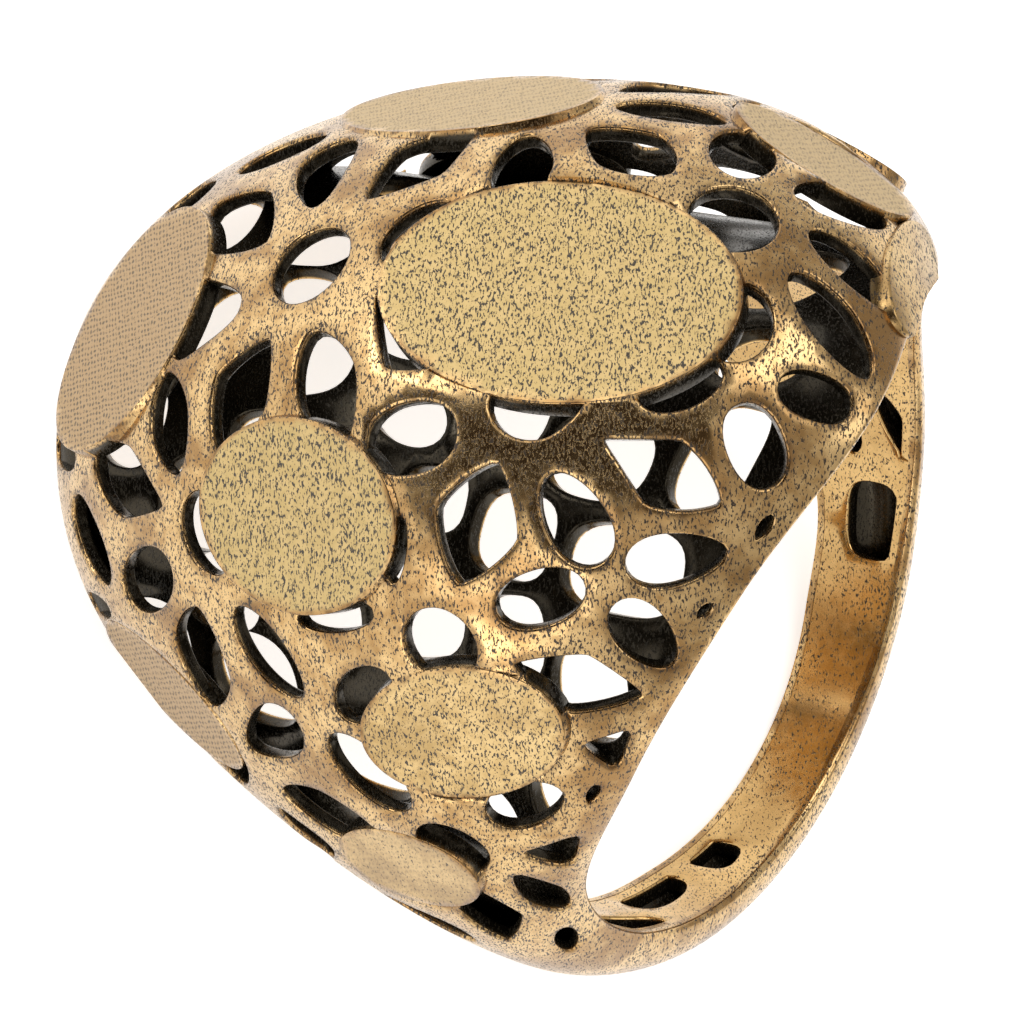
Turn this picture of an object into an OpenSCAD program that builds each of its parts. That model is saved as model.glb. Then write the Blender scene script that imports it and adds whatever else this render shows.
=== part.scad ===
// Openwork dome ring, one casting: a pierced outer dome shell with flat oval plates, an open lattice
// wall round the finger, and a box-section shank that closes the ring underneath.
//
// It is built as if worn: the finger runs along Y, the dome faces up (+Z), the near rim is on -Y and
// the far rim on +Y. Last of all it is laid down on its far side, as it rests on a table.
//
// "Angle" counts round the finger: 0 at +X, 90 at the crown, 270 under the finger.
// "Across" runs over the band from the near rim (-1) to the far rim (+1).

/* [Finger] */
// Inside width of the finger hole
finger_bore = 18; // [16:0.1:19.5]
// Thickness of the lattice wall that touches the finger
finger_wall = 0.55; // [0.5:0.05:0.65]

/* [Dome] */
// Thickness of the pierced outer shell
shell_wall = 0.45; // [0.4:0.05:0.6]
// Height of the crown over the finger hole
crown_height = 4.8; // [4.4:0.1:5.2]
// Thickness of the metal at the bottom of the shank
shank_height = 1.45; // [1.4:0.05:1.6]
// How far the crest leans to the near side, as a share of the height
crest_lean = 0.2; // [0.1:0.05:0.25]

/* [Plates] */
// Thickness of a flat oval plate
plate_thickness = 0.7; // [0.65:0.05:0.9]
// How far a plate stands out of the dome beside it
plate_proud = 0.12; // [0.08:0.01:0.15]

/* [Gaps] */
// Size of every gap against its charted size
gap_scale = 1; // [0.9:0.01:1.04]
// Height over the dome at which a gap's walls would meet
plug_point = 10; // [8:1:14]

/* [Fineness] */
// Sections round the finger
ring_sections = 44; // [32:4:48]
// Points over the band in each section
band_points = 13; // [11:2:15]
// Points on the outline of a gap
gap_points = 12; // [10:2:14]

/* [Hidden] */
bore_radius = finger_bore / 2;
slope_share = 0.9;
round_power = 2.1;
edge_power = 0.75;
knot_step = 30;
first_knot = -90;
plug_below = 0.9;
small_gap = 1.3;
middle_gap = 2.3;
middle_plate = 5.4;
kite_below = 1.45;
box_above = 2.9;
points_step = 2;
window_points = 8;
window_over = 0.12;
pocket_depth = 0.9;
plate_points = 22;
rim_points = 8;
least_tilt = 20;
most_tilt = 80;
tilt_steps = 24;
bed_height = 2;
bed_lap = 0.06;
bed_share = 0.97;
sink_share = 0.4;
hole_length = 40;
hole_margin = 0.04;
slope_step = 0.5;
across_step = 0.01;
across_limit = 0.995;
hollow_from = -20;
hollow_to = 200;
hollow_sections = 22;
hollow_points = 9;
hidden_from = 137;
brass = [0.72, 0.56, 0.32];

// Sections of the band, every 30 degrees from the bottom of the shank to the crown, in mm.
// Columns: near half width, far half width, height over the finger
sections = [
    [1.3, 1.3, shank_height],
    [1.5, 1.5, shank_height],
    [2.05, 2.05, 1.5],
    [3.3, 6.8, 1.95],
    [6.4, 11.4, 2.8],
    [9.1, 13.6, slope_share * crown_height],
    [10.7, 14.3, crown_height]
];

// Gaps through the outer shell, read by eye from the crown outwards.
// Columns: angle, across, length, width, turn, squareness, taper
// Squareness 2 is an oval, nearer 1 a kite, 4 a box; taper narrows the end that the turn points to.
shell_gaps = [
    // far slope, beside the long plate
    [77, 0.60, 3.0, 1.4, 76, 2.0, 0],
    [81, 0.81, 2.8, 1.5, 108, 2.4, 0],
    [83, 0.40, 3.1, 1.6, -35, 2.2, 0.35],
    [81, 0.19, 3.3, 2.4, 24, 1.2, 0],
    [90, 0.53, 4.0, 2.1, -67, 1.4, 0],
    [96, 0.27, 2.4, 2.2, 90, 2.0, 0],
    [91, 0.07, 2.2, 1.8, 40, 2.0, 0],
    [101, -0.03, 3.3, 2.4, -71, 1.2, -0.2],
    [102.5, 0.475, 2.5, 1.8, -100, 3.0, 0.5],
    [110.8, 0.32, 3.0, 2.2, 18, 1.3, 0],
    [108.6, 0.12, 3.2, 1.8, -42, 1.6, 0],
    [115, 0.50, 2.8, 1.6, -30, 1.7, 0],
    [112, -0.13, 2.5, 1.7, 70, 2.2, 0],
    [122.8, 0.63, 3.9, 1.8, -76, 1.4, 0.35],
    [121, 0.92, 2.8, 0.9, -74, 2.0, 0],
    [132, 0.81, 2.7, 1.7, -42, 2.2, 0],
    // crown, round the great plate
    [105, -0.41, 2.4, 2.0, 54, 1.8, -0.1],
    [80, -0.03, 2.6, 1.5, -33, 2.0, -0.25],
    [55.5, -0.07, 3.3, 2.3, 18, 1.7, 0.3],
    [65, -0.23, 2.8, 1.2, 78, 1.8, 0],
    [74.3, -0.25, 3.0, 1.8, -71, 1.5, -0.2],
    [67.5, -0.49, 2.3, 1.6, -21, 1.9, 0],
    [78, -0.585, 2.2, 2.1, 0, 2.0, 0],
    [64, -0.76, 2.7, 1.5, 44, 2.0, 0],
    [73, -0.86, 2.7, 1.3, -80, 1.8, 0],
    [83, -0.87, 3.0, 1.3, -64, 1.8, 0],
    [90, -0.71, 2.0, 1.7, -15, 2.0, 0],
    [99, -0.68, 2.0, 1.2, 37, 2.0, 0],
    [93, -0.91, 1.8, 1.1, 72, 2.3, 0],
    [102, -0.87, 2.0, 1.3, -56, 2.2, 0],
    [108.6, -0.74, 3.0, 1.6, 90, 1.2, 0.35],
    [54, -0.93, 1.4, 0.9, 90, 2.0, 0],
    [54.5, -0.31, 1.8, 0.4, -10, 2.0, 0],
    [56, 0.17, 2.2, 1.2, 90, 2.0, 0],
    // hidden side, seen from inside through the gaps of the crown
    [45, 0.93, 2.2, 1.0, 90, 2.0, 0],
    [33, 0.90, 2.2, 1.2, 90, 2.0, 0],
    [19, 0.58, 2.6, 1.8, 70, 2.0, 0],
    [16, 0.02, 2.2, 1.6, 90, 2.0, 0],
    [10, -0.16, 2.8, 1.6, 70, 2.0, 0],
    // near slope, below the great plate
    [118.7, -0.375, 2.9, 2.1, 3, 1.3, 0],
    [116, -0.61, 2.3, 1.4, -53, 2.1, -0.15],
    [125, -0.59, 2.2, 1.3, 52, 2.1, 0],
    [117.5, -0.855, 2.3, 1.2, 56, 2.0, -0.25],
    [127.5, -0.865, 2.1, 1.2, -58, 2.0, 0.2],
    [110.5, -0.965, 0.7, 0.3, 0, 1.6, 0],
    [123, -0.955, 0.5, 0.25, 20, 1.6, 0],
    [134.5, -0.75, 3.0, 1.6, 90, 1.2, 0],
    // round the second plate
    [134, 0.59, 3.0, 1.6, 70, 2.1, 0],
    [126, 0.37, 2.2, 1.8, -45, 2.0, 0],
    [123, -0.16, 1.6, 0.6, 0, 2.0, 0],
    [131.3, 0.03, 2.6, 0.8, 73, 2.0, 0],
    [132, -0.33, 1.9, 1.8, 90, 2.0, 0],
    // shoulder
    [142, 0.46, 3.1, 2.2, 22, 1.5, 0],
    [138, 0.23, 2.7, 1.6, -45, 1.9, 0],
    [140, -0.03, 2.4, 1.3, 49, 1.9, 0],
    [150, 0.31, 3.0, 1.4, 64, 2.0, 0.35],
    [151, 0.02, 2.6, 1.8, -55, 2.0, 0],
    [161, 0.24, 3.4, 1.7, -78, 1.6, 0],
    [172.9, 0.56, 2.6, 1.4, 49, 3.8, 0.6],
    [161, 0.61, 2.4, 0.9, 68, 2.0, 0],
    [143, 0.90, 2.4, 0.7, 98, 2.0, 0],
    [161, -0.30, 1.9, 1.7, 90, 2.0, 0],
    [176, -0.37, 2.8, 1.6, 0, 1.3, 0],
    [183.4, 0.24, 2.8, 1.3, 107, 2.6, 0.2],
    [144, -0.88, 1.0, 0.8, 90, 4.0, 0.8],
    [145, -0.70, 1.0, 0.5, 30, 1.7, 0],
    [152, -0.89, 0.7, 0.3, 5, 1.6, 0],
    [153, -0.65, 2.1, 1.4, 48, 2.0, 0],
    [163, -0.79, 1.3, 0.9, 90, 4.0, 0.8],
    [173, -0.76, 2.6, 0.9, -27, 1.6, 0],
    [189, -0.76, 1.5, 0.6, 10, 1.8, 0]
];

// Flat oval plates set in the dome. The last one forms a piece of the near rim.
// Columns: angle, across, long, short, turn, extra height
shell_plates = [
    [93, -0.295, 9.1, 6.0, 83, 0],
    [122, 0.14, 6.7, 4.6, 87, 0],
    [103.5, 0.735, 7.2, 6.4, 53, 0.14],
    [143, -0.40, 5.6, 3.6, 61, 0],
    [66.4, 0.29, 8.7, 4.8, 97, 0],
    [55.5, -0.62, 5.0, 3.4, 84, 0],
    [153.5, 0.755, 6.4, 3.7, 123, -0.06],
    [168, 0.05, 5.2, 2.9, 73, 0],
    [62, -0.97, 4.9, 2.0, -7, 0.06]
];

// Windows of the lattice wall under the dome.
// Columns: angle, place along the finger in mm, length along, width round, turn, squareness
lattice_windows = [
    [104, 1.8, 2.9, 1.5, 17, 2.0],
    [101, -1.2, 2.5, 2.1, -7, 3.0],
    [105, -4.3, 3.1, 2.1, 2, 2.4],
    [101.5, -7.5, 2.1, 3.0, 6, 3.0],
    [116, 0.1, 2.1, 1.6, -4, 3.0],
    [118.5, -2.55, 2.5, 2.1, 2, 3.0],
    [120, -5.9, 3.5, 2.1, -2, 3.0],
    [132, -0.1, 2.8, 2.5, -15, 2.9],
    [133, -3.0, 2.0, 2.0, -8, 3.0],
    [137, 3.2, 2.9, 2.3, 0, 2.4],
    [138, -5.4, 2.3, 2.4, -3, 2.5],
    [148, -1.4, 3.0, 2.6, 0, 2.2],
    [158, -4.2, 1.8, 2.0, 0, 2.4],
    [160, 2.2, 3.0, 2.2, 0, 2.4],
    [163, -1.4, 2.4, 2.0, 0, 2.4],
    [150, 5.6, 3.0, 2.6, 0, 2.4],
    [137, 6.6, 2.8, 2.0, 0, 2.4],
    [148, 9.0, 2.4, 2.4, 0, 2.4],
    [124, 7.6, 3.0, 2.4, 0, 2.4],
    [114, 10.6, 2.2, 2.4, 0, 2.4],
    [98.5, 5.4, 2.5, 2.0, -15, 3.0],
    [112, 5.4, 3.6, 1.4, 0, 2.4],
    [121, 2.6, 2.0, 2.0, 0, 2.4],
    [95, 9.3, 1.8, 2.5, 12, 3.0],
    [72, 7.9, 2.5, 3.2, -7, 3.4],
    [86.5, 6.8, 3.1, 1.4, 17, 1.8],
    [73, 11.6, 1.6, 3.2, -30, 2.2],
    [52, 8.0, 3.0, 2.2, 0, 2.4],
    [86, 2.4, 4.0, 3.2, 0, 2.4],
    [84, -2.6, 3.6, 3.4, 0, 2.4],
    [84.5, -7.2, 2.5, 1.8, 0, 2.4],
    [64, 0.2, 4.4, 3.4, 0, 2.4],
    [66, -5.6, 3.2, 3.2, 0, 2.4],
    [40, 4.6, 4.4, 3.4, 0, 2.4],
    [67, 4.9, 2.9, 2.8, 0, 2.4],
    [20, 2.6, 4.4, 3.0, 0, 2.4]
];

// Blind windows in the finger side of both shoulders of the shank.
// Columns as for the lattice windows
shank_windows = [
    [248, 0.3, 1.5, 1.2, 8, 3.2],
    [232, 0.4, 1.4, 2.4, 8, 2.6],
    [216, -1.0, 1.5, 2.4, -20, 2.6],
    [232, -1.3, 0.4, 1.2, 0, 1.6],
    [318, -0.5, 1.7, 2.3, 0, 3.2],
    [333, 0.1, 0.6, 1.0, 0, 1.8],
    [337, -1.4, 0.7, 2.2, 20, 2.0]
];

// The hidden flank repeats the shoulder that is seen, left for right.
hidden_gaps = [
    for (g = shell_gaps)
        if (g[0] > hidden_from && g[2] > middle_gap)
            [180 - g[0], g[1], g[2], g[3], 180 - g[4], g[5], g[6]]
];
hidden_plates = [
    for (p = shell_plates)
        if (p[0] > hidden_from && p[2] > middle_plate)
            [180 - p[0], p[1], p[2], p[3], 180 - p[4], p[5]]
];
all_gaps = concat(shell_gaps, hidden_gaps);
all_plates = concat(shell_plates, hidden_plates);

// The band as functions of angle and place across

function fold(angle) =
    let (a = (angle + 90) % 360, b = (a < 0 ? a + 360 : a) - 90)
    b > 90 ? 180 - b : b;

function knot(i, column) = sections[max(0, min(len(sections) - 1, i))][column];

// A smooth curve through one column of the section table, level at both ends
function column_at(angle, column) =
    let (
        t = (fold(angle) - first_knot) / knot_step,
        last = len(sections) - 1,
        i = min(floor(t), last - 1),
        s = t - i,
        y0 = knot(i, column),
        y1 = knot(i + 1, column),
        m0 = i == 0 ? 0 : (y1 - knot(i - 1, column)) / 2,
        m1 = i + 1 == last ? 0 : (knot(i + 2, column) - y0) / 2
    )
    (2 * s ^ 3 - 3 * s ^ 2 + 1) * y0 + (s ^ 3 - 2 * s ^ 2 + s) * m0
        + (3 * s ^ 2 - 2 * s ^ 3) * y1 + (s ^ 3 - s ^ 2) * m1;

function near_width(angle) = column_at(angle, 0);

function far_width(angle) = column_at(angle, 1);

function height(angle) = column_at(angle, 2);

function rise(across) = max(0, 1 - abs(across) ^ round_power) ^ edge_power;

function round_finger(angle, radius, along) = [radius * cos(angle), along, radius * sin(angle)];

// A point of the band's outside, or of its hollow when it is drawn in by a wall
function band_point(angle, across, wall = 0) =
    let (
        lift = (height(angle) - wall) * rise(across),
        side = (across < 0 ? near_width(angle) : far_width(angle)) - wall
    )
    round_finger(angle, bore_radius + lift, side * across - crest_lean * lift);

function unit(v) = v / norm(v);

// The place's own axes: across, round the finger and outward, with the point itself last
function place_axes(angle, across) =
    let (
        a0 = max(-across_limit, across - across_step),
        a1 = min(across_limit, across + across_step),
        round_way = unit(band_point(angle + slope_step, across) - band_point(angle - slope_step, across)),
        across_way = band_point(angle, a1) - band_point(angle, a0),
        out = unit(cross(across_way, round_way))
    )
    [cross(round_way, out), round_way, out, band_point(angle, across)];

function as_matrix(axes) = [
    for (row = [0:2]) [axes[0][row], axes[1][row], axes[2][row], axes[3][row]],
    [0, 0, 0, 1]
];

// Outline of a gap, plate or window as pairs: across, round
function outline(length, width, turn, square, taper, count) = [
    for (k = [0:count - 1])
        let (
            angle = 360 * k / count,
            c = sign(cos(angle)) * abs(cos(angle)) ^ (2 / square),
            s = sign(sin(angle)) * abs(sin(angle)) ^ (2 / square),
            x = length / 2 * c,
            y = width / 2 * s * (1 - taper * c)
        )
        [x * sin(turn) + y * cos(turn), x * cos(turn) - y * sin(turn)]
];

// Solids of the band

function band_section(angle, wall, floor_radius, reach, count) = [
    for (k = [0:count - 1])
        let (
            across = reach * sin(-90 + 180 * k / (count - 1)),
            p = band_point(angle, across, wall),
            radius = norm([p[0], p[2]])
        )
        round_finger(angle, max(radius, floor_radius), p[1])
];

module closed_band() {
    points = [
        for (i = [0:ring_sections - 1])
            each band_section(360 * i / ring_sections, 0, bore_radius, 1, band_points)
    ];
    faces = [
        for (i = [0:ring_sections - 1], k = [0:band_points - 1])
            let (
                n = band_points,
                j = (i + 1) % ring_sections,
                m = (k + 1) % n
            )
            [i * n + k, j * n + k, j * n + m, i * n + m]
    ];
    polyhedron(points, faces, convexity = 8);
}

// How far across the hollow reaches before it meets the lattice wall
function hollow_reach(angle) =
    (1 - (finger_wall / (height(angle) - shell_wall)) ^ (1 / edge_power)) ^ (1 / round_power);

module hollow() {
    n = hollow_points;
    points = [
        for (i = [0:hollow_sections])
            let (angle = hollow_from + (hollow_to - hollow_from) * i / hollow_sections)
            each band_section(
                angle, shell_wall, bore_radius + finger_wall, hollow_reach(angle), n
            )
    ];
    faces = [
        for (i = [0:hollow_sections - 1], k = [0:n - 1])
            let (m = (k + 1) % n)
            [i * n + k, (i + 1) * n + k, (i + 1) * n + m, i * n + m],
        [for (k = [0:n - 1]) k],
        [for (k = [n - 1:-1:0]) hollow_sections * n + k]
    ];
    polyhedron(points, faces, convexity = 8);
}

// Small gaps and straight-sided ones need fewer points on their outline
function outline_points(length, square) =
    length < small_gap ? gap_points - 2 * points_step
    : length < middle_gap || square < kite_below || square > box_above ? gap_points - points_step
    : gap_points;

// A pointed plug through the shell at a charted gap: its point stands above the ring, so that the
// gap opens a little towards the back of the shell
module gap_plug(gap) {
    grow = gap_scale * (plug_point + plug_below) / plug_point;
    shape = outline(
        gap[2] * grow, gap[3] * grow, gap[4], gap[5], gap[6], outline_points(gap[2], gap[5])
    );
    multmatrix(as_matrix(place_axes(gap[0], gap[1])))
        translate([0, 0, -plug_below])
            hull()
                linear_extrude(plug_below + plug_point, scale = 0)
                    polygon(shape);
}

// A pointed plug cut outward from the middle of the finger hole
module window_plug(window, depth) {
    grow = (bore_radius + depth) / bore_radius;
    shape = outline(
        window[2] * grow, window[3] * grow, 90 + window[4], window[5], 0, window_points
    );
    rotate([0, 90 - window[0], 0])
        translate([0, window[1], bore_radius + depth])
            mirror([0, 0, 1])
                hull()
                    linear_extrude(bore_radius + depth, scale = 0)
                        polygon([for (p = shape) [-p[1], p[0]]]);
}

// How deep a plate's flat face lies under the dome's own bulge, so that its rim comes out level
function plate_sink(plate) =
    let (
        axes = place_axes(plate[0], plate[1]),
        per_degree = norm(band_point(plate[0] + 1, plate[1]) - axes[3]),
        per_across = norm(band_point(plate[0], plate[1] + across_step) - axes[3]) / across_step,
        drops = [
            for (p = outline(plate[2], plate[3], plate[4], 2, 0, rim_points))
                let (
                    angle = plate[0] + p[1] / per_degree,
                    across = max(-1, min(1, plate[1] + p[0] / per_across))
                )
                (band_point(angle, across) - axes[3]) * axes[2]
        ]
    )
    min(drops) + sink_share * (max(drops) - min(drops));

module plate_column(plate, low, high, share = 1) {
    shape = outline(plate[2] * share, plate[3] * share, plate[4], 2, 0, plate_points);
    level = plate_sink(plate) + plate_proud + plate[5];
    multmatrix(as_matrix(place_axes(plate[0], plate[1])))
        translate([0, 0, level + low])
            linear_extrude(high - low)
                polygon(shape);
}

// Round the finger with the same corners as the band's inside, and a little wider, so that no plate
// reaches into the hole
module finger_hole() {
    rotate([90, 0, 0])
        cylinder(r = bore_radius + hole_margin, h = hole_length, center = true, $fn = ring_sections);
}

// How the ring lies down on its far side

tilt_points = [
    for (angle = [-90:360 / ring_sections:90], k = [floor(band_points / 2):band_points - 1])
        let (p = band_section(angle, 0, bore_radius, 1, band_points)[k])
        [p[1], p[2]]
];

function reach_down(points, tilt) = max([for (p = points) p[0] * sin(tilt) - p[1] * cos(tilt)]);

dome_points = [for (p = tilt_points) if (p[1] > 0) p];
shank_points = [for (p = tilt_points) if (p[1] <= 0) p];

function find_tilt(low, high, steps) =
    let (middle = (low + high) / 2)
    steps == 0 ? middle
    : reach_down(dome_points, middle) > reach_down(shank_points, middle)
        ? find_tilt(low, middle, steps - 1)
        : find_tilt(middle, high, steps - 1);

rest_tilt = find_tilt(least_tilt, most_tilt, tilt_steps);
rest_drop = reach_down(tilt_points, rest_tilt);
all_points = [
    for (i = [0:ring_sections - 1])
        each band_section(360 * i / ring_sections, 0, bore_radius, 1, band_points)
];
laid_along = [for (p = all_points) p[1] * cos(rest_tilt) + p[2] * sin(rest_tilt)];
rest_shift = (min(laid_along) + max(laid_along)) / 2;

module lay_down() {
    translate([0, -rest_shift, rest_drop])
        rotate([-rest_tilt, 0, 0])
            children();
}

module ring() {
    color(brass)
        lay_down()
            union() {
                difference() {
                    closed_band();
                    hollow();
                    for (gap = all_gaps)
                        gap_plug(gap);
                    for (window = lattice_windows)
                        window_plug(window, finger_wall + window_over);
                    for (window = shank_windows)
                        window_plug(window, pocket_depth);
                    for (plate = all_plates)
                        plate_column(plate, -bed_lap, bed_height, bed_share);
                }
                difference() {
                    for (plate = all_plates)
                        plate_column(plate, -plate_thickness, 0);
                    finger_hole();
                }
            }
}

ring();
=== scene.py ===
# %% [markdown]
# # An openwork dome ring, dressed for the camera
# The ring is one brass casting: a pierced dome shell with flat oval plates in it, a lattice wall
# that touches the finger, and a narrow shank. The CAD model fixes its size and its openings. This
# script builds the ring again with finer faces and softened edges, and gives it its antique finish.

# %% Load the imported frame
import math

import bmesh
import bpy
import numpy as np
from mathutils import Matrix, Vector
from mathutils.geometry import delaunay_2d_cdt


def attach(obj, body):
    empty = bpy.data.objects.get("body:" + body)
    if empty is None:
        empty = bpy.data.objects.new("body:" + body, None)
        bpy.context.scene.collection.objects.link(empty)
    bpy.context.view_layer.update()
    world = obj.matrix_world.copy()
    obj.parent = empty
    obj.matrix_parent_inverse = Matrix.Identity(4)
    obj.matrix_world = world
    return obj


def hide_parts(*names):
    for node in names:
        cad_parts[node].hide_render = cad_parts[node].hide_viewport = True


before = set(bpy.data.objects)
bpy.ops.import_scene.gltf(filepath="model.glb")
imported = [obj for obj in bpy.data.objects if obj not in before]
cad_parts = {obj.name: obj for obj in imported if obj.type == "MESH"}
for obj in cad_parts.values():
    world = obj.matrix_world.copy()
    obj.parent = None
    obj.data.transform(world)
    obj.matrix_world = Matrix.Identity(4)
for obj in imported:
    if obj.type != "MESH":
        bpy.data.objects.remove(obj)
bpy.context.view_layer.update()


def add_object(name, data):
    thing = bpy.data.objects.new(name, data)
    bpy.context.scene.collection.objects.link(thing)
    return thing


def new_material(name):
    material = bpy.data.materials.new(name)
    material.use_nodes = True
    return material, material.node_tree, material.node_tree.nodes["Principled BSDF"]


# %% [markdown]
# ## The band as a rule
# On the real ring, the outside swells from a thin shank to a high, wide dome whose crest leans to
# the near side. A few cross-sections say all of it: how far the band reaches to the near side and
# to the far side, and how high it stands over the finger. A smooth curve runs through them. Every
# later step asks this rule where the skin is, so that the dome, its gaps and its plates agree.

# %% Sizes of the band in mm, worn on a finger that runs along Y
FINGER = 9.0
FINGER_WALL = 0.5
SHELL_WALL = 0.42
LEAN = 0.2
ROUND_POWER = 2.1
EDGE_POWER = 0.75
KNOT_STEP = 30
# Steps over which the skin's own directions are measured
AXES_TURN = 0.5
AXES_STEP = 0.01
AXES_LIMIT = 0.995

# Columns: near half width, far half width, height; every 30 degrees from the shank to the crown
SECTIONS = np.array([
    [1.3, 1.3, 1.45],
    [1.5, 1.5, 1.45],
    [2.05, 2.05, 1.5],
    [3.3, 6.8, 1.95],
    [6.4, 11.4, 2.8],
    [9.1, 13.6, 4.32],
    [10.7, 14.3, 4.8],
])


def band_column(angle, column):
    """A smooth curve through one column of the sections, level at the shank and at the crown."""
    turn = (np.asarray(angle, float) + 90) % 360 - 90
    t = (np.where(turn > 90, 180 - turn, turn) + 90) / KNOT_STEP
    last = len(SECTIONS) - 1
    i = np.clip(np.floor(t).astype(int), 0, last - 1)
    s = t - i
    y = SECTIONS[:, column]
    slope = np.r_[0, (y[2:] - y[:-2]) / 2, 0]
    return ((2 * s**3 - 3 * s**2 + 1) * y[i] + (s**3 - 2 * s**2 + s) * slope[i]
            + (3 * s**2 - 2 * s**3) * y[i + 1] + (s**3 - s**2) * slope[i + 1])


def side_width(angle, across):
    return np.where(np.asarray(across) < 0, band_column(angle, 0), band_column(angle, 1))


def profile(angle, across):
    """Height over the finger and place along it, for an angle and a place across the band."""
    lift = band_column(angle, 2) * np.maximum(0, 1 - np.abs(across) ** ROUND_POWER) ** EDGE_POWER
    return lift, side_width(angle, across) * across - LEAN * lift


def round_finger(angle, radius, along):
    turn = np.radians(angle)
    return np.stack(np.broadcast_arrays(radius * np.cos(turn), along, radius * np.sin(turn)), -1)


def skin(angle, across):
    lift, along = profile(angle, across)
    return round_finger(angle, FINGER + lift, along)


def unit(v):
    return v / np.linalg.norm(v, axis=-1, keepdims=True)


def skin_axes(angle, across):
    """Across, round and outward directions of the skin at a place."""
    a0 = np.clip(across - AXES_STEP, -AXES_LIMIT, AXES_LIMIT)
    a1 = np.clip(across + AXES_STEP, -AXES_LIMIT, AXES_LIMIT)
    round_way = unit(skin(angle + AXES_TURN, across) - skin(angle - AXES_TURN, across))
    out = unit(np.cross(skin(angle, a1) - skin(angle, a0), round_way))
    return np.cross(round_way, out), round_way, out


print("crown stands", round(float(profile(90, 0)[0]), 2), "mm over the finger;",
      "band is", round(float(band_column(90, 0) + band_column(90, 1)), 1), "mm wide there")
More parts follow.
